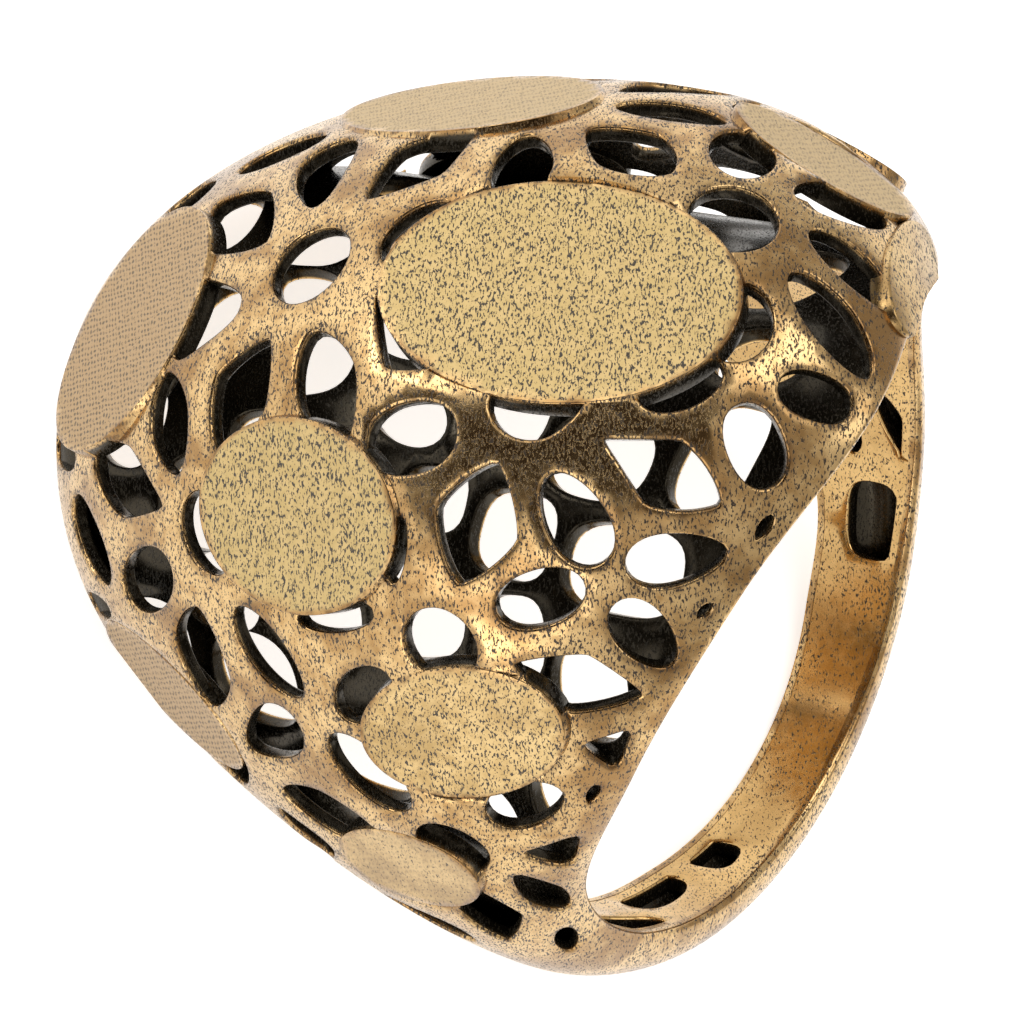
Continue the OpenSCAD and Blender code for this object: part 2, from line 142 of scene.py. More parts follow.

# %% [markdown]
# ## The charts of gaps, plates and windows
# A goldsmith would draw the piercing on paper first. These tables are that drawing, read from
# the ring: where each opening sits, how long and wide it is, which way it turns, and whether
# it is an oval (squareness 2), a kite (nearer 1) or a box (4). Taper narrows one end.

# %% Gaps through the outer shell
# Columns: angle, across, length, width, turn, squareness, taper
SHELL_GAPS = [
    # far slope, beside the long plate
    [77, 0.60, 3.0, 1.4, 76, 2.0, 0],
    [81, 0.81, 2.8, 1.5, 108, 2.4, 0],
    [83, 0.40, 3.1, 1.6, -35, 2.2, 0.35],
    [81, 0.19, 3.3, 2.4, 24, 1.2, 0],
    [90, 0.53, 4.0, 2.1, -67, 1.4, 0],
    [96, 0.27, 2.4, 2.2, 90, 2.0, 0],
    [91, 0.07, 2.2, 1.8, 40, 2.0, 0],
    [101, -0.03, 3.3, 2.4, -71, 1.2, -0.2],
    [102.5, 0.475, 2.5, 1.8, -100, 3.0, 0.5],
    [110.8, 0.32, 3.0, 2.2, 18, 1.3, 0],
    [108.6, 0.12, 3.2, 1.8, -42, 1.6, 0],
    [115, 0.50, 2.8, 1.6, -30, 1.7, 0],
    [112, -0.13, 2.5, 1.7, 70, 2.2, 0],
    [122.8, 0.63, 3.9, 1.8, -76, 1.4, 0.35],
    [121, 0.92, 2.8, 0.9, -74, 2.0, 0],
    [132, 0.81, 2.7, 1.7, -42, 2.2, 0],
    # crown, round the great plate
    [105, -0.41, 2.4, 2.0, 54, 1.8, -0.1],
    [80, -0.03, 2.6, 1.5, -33, 2.0, -0.25],
    [55.5, -0.07, 3.3, 2.3, 18, 1.7, 0.3],
    [65, -0.23, 2.8, 1.2, 78, 1.8, 0],
    [74.3, -0.25, 3.0, 1.8, -71, 1.5, -0.2],
    [67.5, -0.49, 2.3, 1.6, -21, 1.9, 0],
    [78, -0.585, 2.2, 2.1, 0, 2.0, 0],
    [64, -0.76, 2.7, 1.5, 44, 2.0, 0],
    [73, -0.86, 2.7, 1.3, -80, 1.8, 0],
    [83, -0.87, 3.0, 1.3, -64, 1.8, 0],
    [90, -0.71, 2.0, 1.7, -15, 2.0, 0],
    [99, -0.68, 2.0, 1.2, 37, 2.0, 0],
    [93, -0.91, 1.8, 1.1, 72, 2.3, 0],
    [102, -0.87, 2.0, 1.3, -56, 2.2, 0],
    [108.6, -0.74, 3.0, 1.6, 90, 1.2, 0.35],
    [54, -0.93, 1.4, 0.9, 90, 2.0, 0],
    [54.5, -0.31, 1.8, 0.4, -10, 2.0, 0],
    [56, 0.17, 2.2, 1.2, 90, 2.0, 0],
    # hidden side, seen from inside through the gaps of the crown
    [45, 0.93, 2.2, 1.0, 90, 2.0, 0],
    [33, 0.90, 2.2, 1.2, 90, 2.0, 0],
    [19, 0.58, 2.6, 1.8, 70, 2.0, 0],
    [16, 0.02, 2.2, 1.6, 90, 2.0, 0],
    [10, -0.16, 2.8, 1.6, 70, 2.0, 0],
    # near slope, below the great plate
    [118.7, -0.375, 2.9, 2.1, 3, 1.3, 0],
    [116, -0.61, 2.3, 1.4, -53, 2.1, -0.15],
    [125, -0.59, 2.2, 1.3, 52, 2.1, 0],
    [117.5, -0.855, 2.3, 1.2, 56, 2.0, -0.25],
    [127.5, -0.865, 2.1, 1.2, -58, 2.0, 0.2],
    [110.5, -0.965, 0.7, 0.3, 0, 1.6, 0],
    [123, -0.955, 0.5, 0.25, 20, 1.6, 0],
    [134.5, -0.75, 3.0, 1.6, 90, 1.2, 0],
    # round the second plate
    [134, 0.59, 3.0, 1.6, 70, 2.1, 0],
    [126, 0.37, 2.2, 1.8, -45, 2.0, 0],
    [123, -0.16, 1.6, 0.6, 0, 2.0, 0],
    [131.3, 0.03, 2.6, 0.8, 73, 2.0, 0],
    [132, -0.33, 1.9, 1.8, 90, 2.0, 0],
    # shoulder
    [142, 0.46, 3.1, 2.2, 22, 1.5, 0],
    [138, 0.23, 2.7, 1.6, -45, 1.9, 0],
    [140, -0.03, 2.4, 1.3, 49, 1.9, 0],
    [150, 0.31, 3.0, 1.4, 64, 2.0, 0.35],
    [151, 0.02, 2.6, 1.8, -55, 2.0, 0],
    [161, 0.24, 3.4, 1.7, -78, 1.6, 0],
    [172.9, 0.56, 2.6, 1.4, 49, 3.8, 0.6],
    [161, 0.61, 2.4, 0.9, 68, 2.0, 0],
    [143, 0.90, 2.4, 0.7, 98, 2.0, 0],
    [161, -0.30, 1.9, 1.7, 90, 2.0, 0],
    [176, -0.37, 2.8, 1.6, 0, 1.3, 0],
    [183.4, 0.24, 2.8, 1.3, 107, 2.6, 0.2],
    [144, -0.88, 1.0, 0.8, 90, 4.0, 0.8],
    [145, -0.70, 1.0, 0.5, 30, 1.7, 0],
    [152, -0.89, 0.7, 0.3, 5, 1.6, 0],
    [153, -0.65, 2.1, 1.4, 48, 2.0, 0],
    [163, -0.79, 1.3, 0.9, 90, 4.0, 0.8],
    [173, -0.76, 2.6, 0.9, -27, 1.6, 0],
    [189, -0.76, 1.5, 0.6, 10, 1.8, 0],
]

# %% Plates in the shell, and windows of the finger wall
# Columns: angle, across, long, short, turn, extra height
# The last one forms a piece of the near rim.
SHELL_PLATES = [
    [93, -0.295, 9.1, 6.0, 83, 0],
    [122, 0.14, 6.7, 4.6, 87, 0],
    [103.5, 0.735, 7.2, 6.4, 53, 0.14],
    [143, -0.40, 5.6, 3.6, 61, 0],
    [66.4, 0.29, 8.7, 4.8, 97, 0],
    [55.5, -0.62, 5.0, 3.4, 84, 0],
    [153.5, 0.755, 6.4, 3.7, 123, -0.06],
    [168, 0.05, 5.2, 2.9, 73, 0],
    [62, -0.97, 4.9, 2.0, -7, 0.06],
]

# Columns: angle, place along the finger in mm, length along, width round, turn, squareness
FINGER_WINDOWS = [
    [104, 1.8, 2.9, 1.5, 17, 2.0], [101, -1.2, 2.5, 2.1, -7, 3.0], [105, -4.3, 3.1, 2.1, 2, 2.4],
    [101.5, -7.5, 2.1, 3.0, 6, 3.0], [116, 0.1, 2.1, 1.6, -4, 3.0],
    [118.5, -2.55, 2.5, 2.1, 2, 3.0], [120, -5.9, 3.5, 2.1, -2, 3.0],
    [132, -0.1, 2.8, 2.5, -15, 2.9], [133, -3.0, 2.0, 2.0, -8, 3.0],
    [137, 3.2, 2.9, 2.3, 0, 2.4], [138, -5.4, 2.3, 2.4, -3, 2.5], [148, -1.4, 3.0, 2.6, 0, 2.2],
    [158, -4.2, 1.8, 2.0, 0, 2.4], [160, 2.2, 3.0, 2.2, 0, 2.4], [163, -1.4, 2.4, 2.0, 0, 2.4],
    [150, 5.6, 3.0, 2.6, 0, 2.4], [137, 6.6, 2.8, 2.0, 0, 2.4], [148, 9.0, 2.4, 2.4, 0, 2.4],
    [124, 7.6, 3.0, 2.4, 0, 2.4], [114, 10.6, 2.2, 2.4, 0, 2.4], [98.5, 5.4, 2.5, 2.0, -15, 3.0],
    [112, 5.4, 3.6, 1.4, 0, 2.4], [121, 2.6, 2.0, 2.0, 0, 2.4], [95, 9.3, 1.8, 2.5, 12, 3.0],
    [72, 7.9, 2.5, 3.2, -7, 3.4], [86.5, 6.8, 3.1, 1.4, 17, 1.8], [73, 11.6, 1.6, 3.2, -30, 2.2],
    [52, 8.0, 3.0, 2.2, 0, 2.4], [86, 2.4, 4.0, 3.2, 0, 2.4], [84, -2.6, 3.6, 3.4, 0, 2.4],
    [84.5, -7.2, 2.5, 1.8, 0, 2.4], [64, 0.2, 4.4, 3.4, 0, 2.4], [66, -5.6, 3.2, 3.2, 0, 2.4],
    [40, 4.6, 4.4, 3.4, 0, 2.4], [67, 4.9, 2.9, 2.8, 0, 2.4], [20, 2.6, 4.4, 3.0, 0, 2.4],
    # both shoulders of the shank
    [248, 0.3, 1.5, 1.2, 8, 3.2], [232, 0.4, 1.4, 2.4, 8, 2.6], [216, -1.0, 1.5, 2.4, -20, 2.6],
    [232, -1.3, 0.4, 1.2, 0, 1.6], [318, -0.5, 1.7, 2.3, 0, 3.2], [333, 0.1, 0.6, 1.0, 0, 1.8],
    [337, -1.4, 0.7, 2.2, 20, 2.0],
]

# %% The hidden flank repeats the shoulder that is seen, left for right
HIDDEN_FROM = 137
SMALLEST_REPEAT = 2.3
SMALLEST_PLATE = 5.4
# Plate marks, in the order of the plates drawn: share of flecks, share of woven hatching
PLATE_MARKS = np.array([
    [1.0, 0.0], [1.0, 0.0], [1.0, 1.0], [0.5, 0.0], [1.0, 0.45],
    [1.0, 0.45], [1.0, 1.0], [0.5, 0.3], [0.5, 0.0], [1.0, 1.0],
])
RIM_PLATE_FLECKS = 0.3
gap_rows = SHELL_GAPS + [
    [180 - g[0], g[1], g[2], g[3], 180 - g[4], g[5], g[6]]
    for g in SHELL_GAPS if g[0] > HIDDEN_FROM and g[2] > SMALLEST_REPEAT
]
rim_plate = SHELL_PLATES[-1]
plate_rows = SHELL_PLATES[:-1] + [
    [180 - p[0], p[1], p[2], p[3], 180 - p[4], p[5]] for p in SHELL_PLATES
    if p[0] > HIDDEN_FROM and p[2] > SMALLEST_PLATE
]
plate_heights = [p[5] for p in plate_rows]
plate_rows = [p[:5] + [2.0, 0] for p in plate_rows]
window_rows = [[w[0], w[1], w[2], w[3], 90 + w[4], w[5], 0] for w in FINGER_WINDOWS]
print(len(gap_rows), "gaps,", len(plate_rows), "plates,", len(window_rows), "windows")

# %% [markdown]
# ## Sockets that can be added and multiplied
# Both the cutting tree and the finish are sums over sockets. One small class lets a sum be written
# as a line of Python instead of a page of nodes. Anything that is not a sum comes from `add_node`.


# %% A wrapped socket
class Wire:
    """An output socket that can stand in a sum."""

    def __init__(self, tree, socket):
        self.tree, self.socket = tree, socket

    def sum_node(self, operation, *terms):
        node = self.tree.nodes.new("ShaderNodeMath")
        node.operation = operation
        for place, term in zip(node.inputs, terms):
            plug(self.tree, place, term)
        return Wire(self.tree, node.outputs[0])

    def __add__(self, other): return self.sum_node("ADD", self, other)
    def __radd__(self, other): return self.sum_node("ADD", other, self)
    def __sub__(self, other): return self.sum_node("SUBTRACT", self, other)
    def __rsub__(self, other): return self.sum_node("SUBTRACT", other, self)
    def __mul__(self, other): return self.sum_node("MULTIPLY", self, other)
    def __rmul__(self, other): return self.sum_node("MULTIPLY", other, self)
    def __truediv__(self, other): return self.sum_node("DIVIDE", self, other)
    def __rtruediv__(self, other): return self.sum_node("DIVIDE", other, self)
    def __pow__(self, other): return self.sum_node("POWER", self, other)
    def __abs__(self): return self.sum_node("ABSOLUTE", self)
    def wave(self): return self.sum_node("SINE", self)
    def sign(self): return self.sum_node("SIGN", self)
    def most(self, other): return self.sum_node("MAXIMUM", self, other)


def plug(tree, place, value):
    if isinstance(value, Wire):
        tree.links.new(value.socket, place)
    else:
        place.default_value = value


def add_node(tree, kind, settings=(), **values):
    """A node of one type: its settings, then its sockets by name, spaces as underscores."""
    node = tree.nodes.new(kind)
    for name, value in dict(settings).items():
        setattr(node, name, value)
    sockets = {s.name.replace(" ", "_"): s for s in reversed(list(node.inputs)) if s.enabled}
    for name, value in values.items():
        plug(tree, sockets[name], value)
    return node


def out_of(tree, node, name=0):
    return Wire(tree, node.outputs[name])


# %% [markdown]
# ## The finish: antique brass
# The real ring is brass that was darkened all over and then rubbed back, so metal shows on every
# raised face, while black stays in the gap walls, inside the dome and in thousands of tiny pits.
# The pits are short strokes that all run one way, and some plates are hatched like cloth as well.
# Attributes of the mesh say how deep a point lies, how near an edge it is, how far a plate is
# flecked or hatched, and what faces the finger. Noise in millimetres does the rest.

# %% Colours and sizes of the finish
PLATE_METAL = (0.51, 0.375, 0.165, 1)
PLATE_RUBBED = (0.58, 0.43, 0.20, 1)
HATCHED_METAL = (0.43, 0.29, 0.145, 1)
WEB_METAL = (0.42, 0.25, 0.098, 1)
WEB_RUBBED = (0.66, 0.455, 0.215, 1)
STAIN = (0.12, 0.055, 0.020, 1)
# Brighter gold where the ring faces the finger: partly wear from the finger, partly a painted
# highlight
FINGER_SIDE_WEAR_AND_HIGHLIGHT = (0.78, 0.52, 0.21, 1)
BLACKED = (0.042, 0.034, 0.022, 1)
PLATE_PIT = (0.078, 0.066, 0.052, 1)
WEB_PIT = (0.040, 0.026, 0.015, 1)
# Strokes of the pits to the millimetre: across, along and into the picture
GRAIN_SHAPE = (21.0, 8.5, 8.5)
# Height of the noise over which it counts as a pit
PIT_LEVEL = 0.557
# Depth of the relief in metres
RELIEF = 0.00003
# The grain's and the camera's directions, fixed in the ring's own space
GRAIN_RIGHT = Vector((0.49316, -0.79313, 0.35739))
GRAIN_UP = Vector((0.77537, 0.58703, 0.23282))
GRAIN_BACK = Vector((-0.39445, 0.16229, 0.90447))


def mix_colour(tree, factor, low, high):
    node = add_node(tree, "ShaderNodeMix", {"data_type": "RGBA"})
    plug(tree, node.inputs["Factor"], factor)
    plug(tree, node.inputs["A"], low)
    plug(tree, node.inputs["B"], high)
    return Wire(tree, node.outputs["Result"])


def ramp_up(value, low, high):
    """0 below low, 1 above high, smooth between."""
    tree = value.tree
    node = add_node(tree, "ShaderNodeMapRange", {"interpolation_type": "SMOOTHSTEP"},
                    Value=value, From_Min=low, From_Max=high)
    return Wire(tree, node.outputs["Result"])


def noise(tree, place, scale, detail=2.0, roughness=0.5):
    node = add_node(tree, "ShaderNodeTexNoise", {}, Vector=place, Scale=scale, Detail=detail,
                    Roughness=roughness)
    return Wire(tree, node.outputs["Fac"])


def attribute(tree, name):
    node = add_node(tree, "ShaderNodeAttribute", {"attribute_name": name})
    return Wire(tree, node.outputs["Fac"])


# %% The brass
def antique_brass():
    material, tree, shader = new_material("antique_brass")
    place = out_of(tree, add_node(tree, "ShaderNodeTexCoord"), "Object")
    turn = Matrix((GRAIN_RIGHT, GRAIN_UP, GRAIN_BACK)).to_euler()
    grain = out_of(tree, add_node(tree, "ShaderNodeMapping", {"vector_type": "POINT"},
                                  Vector=place, Rotation=turn, Scale=(1000, 1000, 1000)))
    tall = out_of(tree, add_node(tree, "ShaderNodeMapping", {}, Vector=grain, Scale=GRAIN_SHAPE))
    apart = out_of(tree, add_node(tree, "ShaderNodeSeparateXYZ", {}, Vector=grain), "X")
    up = out_of(tree, tree.nodes[-1], "Y")

    depth, plate, hatched, edge, inside = (
        attribute(tree, name) for name in ("depth", "plate", "hatched", "edge", "inside"))

    broad = noise(tree, grain, 0.55, 2.0)
    middle = noise(tree, grain, 3.0, 2.0)
    strokes = noise(tree, tall, 1.0, 2.5, 0.62)
    woven = ((apart * 62.0 + up * 10.0 + middle * 9.0).wave()
             + (up * 44.0 - apart * 8.0 + middle * 9.0).wave())

    near_edge = ramp_up(edge, 0.30, 0.02)
    clean_line = ramp_up(edge, 0.10, 0.04) * plate
    level = PIT_LEVEL - 0.017 * plate - (broad - 0.5) * 0.10 * (1 - plate)
    level = level - 0.03 * near_edge * (1 - plate)
    level = level + 0.03 * inside + clean_line + 0.2 * hatched
    pits = ramp_up(strokes - level, 0.0, 0.03)
    scratches = ramp_up(woven, -0.2, 1.2) * ramp_up(strokes, 0.38, 0.52) * hatched * 0.8
    marks = pits.most(scratches)
    deep = ramp_up(depth, 0.02, 0.45)

    on_plates = mix_colour(tree, ramp_up(middle, 0.35, 0.7), PLATE_METAL, PLATE_RUBBED)
    on_plates = mix_colour(tree, hatched, on_plates, HATCHED_METAL)
    rubbed = ramp_up(broad * 0.6 + middle * 0.4, 0.38, 0.62)
    on_webs = mix_colour(tree, rubbed, WEB_METAL, WEB_RUBBED)
    on_webs = mix_colour(tree, near_edge * ramp_up(middle, 0.40, 0.65) * 0.75, on_webs, STAIN)
    on_webs = mix_colour(tree, ramp_up(broad, 0.52, 0.36) * 0.35, on_webs, STAIN)
    # The side facing the finger turns brighter gold: partly wear, partly a painted highlight
    on_webs = mix_colour(tree, inside * 0.5, on_webs, FINGER_SIDE_WEAR_AND_HIGHLIGHT)
    shine = mix_colour(tree, plate * ramp_up(edge, 0.02, 0.13), on_webs, on_plates)
    shine = mix_colour(tree, marks, shine, mix_colour(tree, plate, WEB_PIT, PLATE_PIT))
    colour = mix_colour(tree, deep, shine, BLACKED)

    plug(tree, shader.inputs["Base Color"], colour)
    plug(tree, shader.inputs["Metallic"], 1.0 - 0.6 * marks.most(deep * 0.3))
    plug(tree, shader.inputs["Roughness"],
         0.20 + 0.25 * plate + 0.22 * marks + 0.10 * (middle - 0.5) - 0.04 * inside)
    height = 0.6 * (1 - marks) + 0.15 * middle + 1.6 * broad * (1 - plate)
    bump = add_node(tree, "ShaderNodeBump", {}, Strength=0.35, Distance=RELIEF, Height=height)
    plug(tree, shader.inputs["Normal"], out_of(tree, bump))
    print("finish uses", len(tree.nodes), "nodes")
    return material


brass = antique_brass()

# %% [markdown]
# ## Outlines from Geometry Nodes
# All the openings are one shape with different numbers, so one node tree draws them: a circle of
# points is placed on every row of a chart, bent into an oval, kite, box or teardrop, sized and
# turned. Instances of a row keep its numbers, which makes this shorter than code that loops.


# %% The outline tree
def outline_tree():
    tree = bpy.data.node_groups.new("outlines", "GeometryNodeTree")
    face = tree.interface
    face.new_socket("Rows", in_out="INPUT", socket_type="NodeSocketGeometry")
    face.new_socket("Points per outline", in_out="INPUT", socket_type="NodeSocketInt")
    face.new_socket("Outlines", in_out="OUTPUT", socket_type="NodeSocketGeometry")
    given = add_node(tree, "NodeGroupInput")
    circle = add_node(tree, "GeometryNodeMeshCircle", {}, Vertices=out_of(tree, given, 1),
                      Radius=1.0)
    laid = add_node(tree, "GeometryNodeInstanceOnPoints", {}, Points=out_of(tree, given, 0),
                    Instance=out_of(tree, circle))
    loose = add_node(tree, "GeometryNodeRealizeInstances", {}, Geometry=out_of(tree, laid))

    def column(name):
        node = add_node(tree, "GeometryNodeInputNamedAttribute", {"data_type": "FLOAT"}, Name=name)
        return out_of(tree, node)

    place = add_node(tree, "ShaderNodeSeparateXYZ", {},
                     Vector=out_of(tree, add_node(tree, "GeometryNodeInputPosition")))
    power = 2.0 / column("squareness")

    def bent(part):
        return part.sign() * abs(part) ** power

    c, s = bent(out_of(tree, place, 0)), bent(out_of(tree, place, 1))
    x = c * column("length") * 0.5
    y = s * column("width") * 0.5 * (1 - column("taper") * c)
    turn = column("turn") * (math.pi / 180)
    cosine = turn.sum_node("COSINE", turn)
    moved = add_node(tree, "ShaderNodeCombineXYZ", {},
                     X=x * turn.wave() + y * cosine, Y=x * cosine - y * turn.wave())
    shaped = add_node(tree, "GeometryNodeSetPosition", {}, Geometry=out_of(tree, loose),
                      Position=out_of(tree, moved))
    result = add_node(tree, "NodeGroupOutput")
    plug(tree, result.inputs[0], out_of(tree, shaped))
    return tree


outlines = outline_tree()
print("outline tree has", len(outlines.nodes), "nodes")


# %% Draw every row of a chart
def draw_outlines(rows, points, name):
    """The outline of each row in mm, as pairs: across, round."""
    mesh = bpy.data.meshes.new(name)
    mesh.from_pydata([(0, 0, 0)] * len(rows), [], [])
    for k, label in enumerate(["length", "width", "turn", "squareness", "taper"]):
        mesh.attributes.new(label, "FLOAT", "POINT").data.foreach_set(
            "value", [float(row[k + 2]) for row in rows])
    mesh.attributes.new("row", "INT", "POINT").data.foreach_set("value", list(range(len(rows))))
    chart = add_object(name, mesh)
    modifier = chart.modifiers.new("outlines", "NODES")
    modifier.node_group = outlines
    inputs = {s.name: s.identifier for s in outlines.interface.items_tree if s.in_out == "INPUT"}
    modifier[inputs["Points per outline"]] = points
    depsgraph = bpy.context.evaluated_depsgraph_get()
    drawn = bpy.data.meshes.new_from_object(chart.evaluated_get(depsgraph))
    count = len(drawn.vertices)
    co = np.zeros(count * 3)
    drawn.vertices.foreach_get("co", co)
    row = np.zeros(count, int)
    drawn.attributes["row"].data.foreach_get("value", row)
    chart.modifiers.remove(modifier)
    bpy.data.objects.remove(chart)
    bpy.data.meshes.remove(drawn)
    co = co.reshape(-1, 3)[:, :2]
    return [co[row == k] for k in range(len(rows))]


GAP_POINTS, PLATE_POINTS, WINDOW_POINTS = 64, 128, 48
gap_shapes = draw_outlines(gap_rows, GAP_POINTS, "gap_chart")
plate_shapes = draw_outlines(plate_rows, PLATE_POINTS, "plate_chart")
window_shapes = draw_outlines(window_rows, WINDOW_POINTS, "window_chart")
print("first gap is", np.ptp(gap_shapes[0], axis=0).round(2), "mm across and round")

# %% [markdown]
# ## The shell laid flat
# Piercing a curved wall leaves ragged faces, so the shell is cut while it is still a flat sheet, as
# a goldsmith saws sheet metal, and is bent round the finger afterwards. The flat sheet's first
# measure runs round the ring, and its second is the length of the skin from the crest to the rims.

# %% The skin's lengths, section by section
ROUND_SCALE = 0.2
RIM_ROUND = 0.16
TABLE_STEP = 1.0
SKIN_SAMPLES = 401
samples = np.sin(np.linspace(-1, 1, SKIN_SAMPLES) * math.pi / 2)
table_angles = np.arange(-90, 270 + TABLE_STEP, TABLE_STEP)
lifts, alongs = profile(table_angles[:, None], samples[None, :])
steps = np.hypot(np.diff(lifts, axis=1), np.diff(alongs, axis=1))
lengths = np.concatenate([np.zeros((len(table_angles), 1)), np.cumsum(steps, axis=1)], axis=1)
lengths -= lengths[:, [SKIN_SAMPLES // 2]]


def length_row(angle):
    t = min(max((angle + 90) / TABLE_STEP, 0), len(table_angles) - 1 - 1e-9)
    i = int(t)
    return lengths[i] * (1 - (t - i)) + lengths[i + 1] * (t - i)


def lay_flat(angle, across):
    return np.array([[ROUND_SCALE * a, np.interp(v, samples, length_row(a))]
                     for a, v in zip(np.ravel(angle), np.ravel(across))])


def pick_up(flat):
    across = [np.interp(b, length_row(a / ROUND_SCALE), samples) for a, b in flat]
    return flat[:, 0] / ROUND_SCALE, np.array(across)


def rim_across(angle):
    """The place across at which the skin turns over into the rim's rounding."""
    return (1 - (RIM_ROUND / band_column(angle, 2)) ** (1 / EDGE_POWER)) ** (1 / ROUND_POWER)


RIM_KEEP = 0.3
PLACING_STEPS = 6
PLACING_SHARE = 0.8
ACROSS_LIMIT = 0.999
SLOPE_TURN = 0.25
SLOPE_STEP = 0.004


def chart_outline(row, shape):
    """A row's outline laid on the flat sheet, kept off the rims."""
    angle, across = float(row[0]), float(row[1])
    across_way, round_way, _ = skin_axes(angle, across)
    per_degree = skin(angle + SLOPE_TURN, across) - skin(angle - SLOPE_TURN, across)
    per_degree = per_degree / (2 * SLOPE_TURN)
    low, high = max(across - SLOPE_STEP, -ACROSS_LIMIT), min(across + SLOPE_STEP, ACROSS_LIMIT)
    per_across = (skin(angle, high) - skin(angle, low)) / (high - low)
    grid = np.array([[round_way @ per_degree, round_way @ per_across],
                     [across_way @ per_degree, across_way @ per_across]])
    wanted = np.array([shape[:, 1], shape[:, 0]])
    moved = np.linalg.solve(grid, wanted)
    # The skin curves away under a long outline, so its points are moved a few times over
    for _ in range(PLACING_STEPS):
        moved[1] = np.clip(across + moved[1], -ACROSS_LIMIT, ACROSS_LIMIT) - across
        reached = skin(angle + moved[0], across + moved[1]) - skin(angle, across)
        missed = wanted - [reached @ round_way, reached @ across_way]
        moved += PLACING_SHARE * np.linalg.solve(grid, missed)
    flat = lay_flat(angle + moved[0], np.clip(across + moved[1], -ACROSS_LIMIT, ACROSS_LIMIT))
    rim = rim_across(angle + moved[0])
    low, high = lay_flat(angle + moved[0], -rim)[:, 1], lay_flat(angle + moved[0], rim)[:, 1]
    flat[:, 1] = np.clip(flat[:, 1], low + RIM_KEEP, high - RIM_KEEP)
    return flat


print("skin from rim to rim at the crown:", round(float(np.ptp(length_row(90))), 2), "mm")


# %% Even spacing, widening and measuring of outlines
def even_loop(loop, spacing):
    closed = np.vstack([loop, loop[:1]])
    run = np.r_[0, np.cumsum(np.linalg.norm(np.diff(closed, axis=0), axis=1))]
    count = max(8, int(round(run[-1] / spacing)))
    at = np.linspace(0, run[-1], count, endpoint=False)
    return np.stack([np.interp(at, run, closed[:, k]) for k in (0, 1)], -1)


def widen(loop, distance):
    """The loop moved outwards by a distance."""
    ahead, behind = np.roll(loop, -1, axis=0), np.roll(loop, 1, axis=0)
    along = unit(ahead - behind)
    out = np.stack([along[:, 1], -along[:, 0]], -1)
    turned = np.sum(loop[:, 0] * ahead[:, 1] - loop[:, 1] * ahead[:, 0])
    return loop + out * distance * (1 if turned > 0 else -1)


def signed_distance(points, loop, reach):
    """Distance to a loop, negative inside it; points further off than reach get reach."""
    result = np.full(len(points), float(reach))
    low, high = loop.min(0) - reach, loop.max(0) + reach
    near = np.where(np.all((points > low) & (points < high), axis=1))[0]
    if len(near) == 0:
        return result
    p = points[near][:, None, :]
    a, b = loop[None], np.roll(loop, -1, axis=0)[None]
    ab = b - a
    t = np.clip(np.sum((p - a) * ab, -1) / np.maximum(np.sum(ab * ab, -1), 1e-12), 0, 1)
    d = np.linalg.norm(p - a - t[..., None] * ab, axis=-1).min(1)
    rises = (a[..., 1] > p[..., 1]) != (b[..., 1] > p[..., 1])
    span = np.where(np.abs(ab[..., 1]) < 1e-12, 1e-12, ab[..., 1])
    right = p[..., 0] < a[..., 0] + ab[..., 0] * (p[..., 1] - a[..., 1]) / span
    inside = np.sum(rises & right, axis=1) % 2 == 1
    result[near] = np.where(inside, -d, np.minimum(d, reach))
    return result


def nearest(points, loops, reach=1.0):
    """Least signed distance to any loop, and which loop it is."""
    all_distances = np.stack([signed_distance(points, loop, reach) for loop in loops])
    return all_distances.min(0), all_distances.argmin(0)


# %% Cut a flat sheet into triangles
def cut_sheet(border, loops, fill):
    """Triangles of a flat sheet. Every loop becomes a line of edges in it."""
    points, edges = [], []
    for loop in [border] + loops:
        start = len(points)
        points += [Vector(p) for p in loop]
        edges += [(start + k, start + (k + 1) % len(loop)) for k in range(len(loop))]
    points += [Vector(p) for p in fill]
    out = delaunay_2d_cdt(points, edges, [], 1, 1e-5)
    return np.array([tuple(v) for v in out[0]]), np.array([f for f in out[2] if len(f) == 3])


def sheet_border(near, far, first, last, count):
    """A flat sheet's outline: along one rim, over the seam, back along the other rim."""
    seam = np.linspace(near[0, 1], far[0, 1], count)[1:-1]
    return np.vstack([near, np.stack([np.full(len(seam), last), seam], -1),
                      far[::-1], np.stack([np.full(len(seam), first), seam[::-1]], -1)])


LEAST_AREA = 1e-9


def face_up(points, triangles):
    """The triangles that have an area, all turned the same way."""
    area = points[triangles]
    crossed = np.cross(area[:, 1] - area[:, 0], area[:, 2] - area[:, 0])
    triangles = np.where(crossed[:, None] < 0, triangles[:, ::-1], triangles)
    return triangles[np.abs(crossed) > LEAST_AREA]


EDGE_ROUND = 0.07
PLATE_ROUND = 0.025
PLATE_STEP = 0.05
LINE_SPACING = 0.16
gap_loops = [even_loop(chart_outline(r, s), LINE_SPACING) for r, s in zip(gap_rows, gap_shapes)]
plate_loops = [even_loop(chart_outline(r, s), LINE_SPACING)
               for r, s in zip(plate_rows, plate_shapes)]
# How far a quarter circle has dropped half way round, as a share of its radius
HALF_TURN = 1 - math.sqrt(0.5)


def soft_lines(loops):
    """Each opening's line, and two more round it that carry its soft edge."""
    lines = []
    for loop in loops:
        lines += [loop, widen(loop, EDGE_ROUND * HALF_TURN), widen(loop, EDGE_ROUND)]
    return lines


rings = soft_lines(gap_loops)
for loop in plate_loops:
    rings += [widen(loop, PLATE_STEP), loop, widen(loop, -PLATE_ROUND * HALF_TURN),
              widen(loop, -PLATE_ROUND)]
print(len(rings), "lines to cut,", sum(len(r) for r in rings), "points on them")

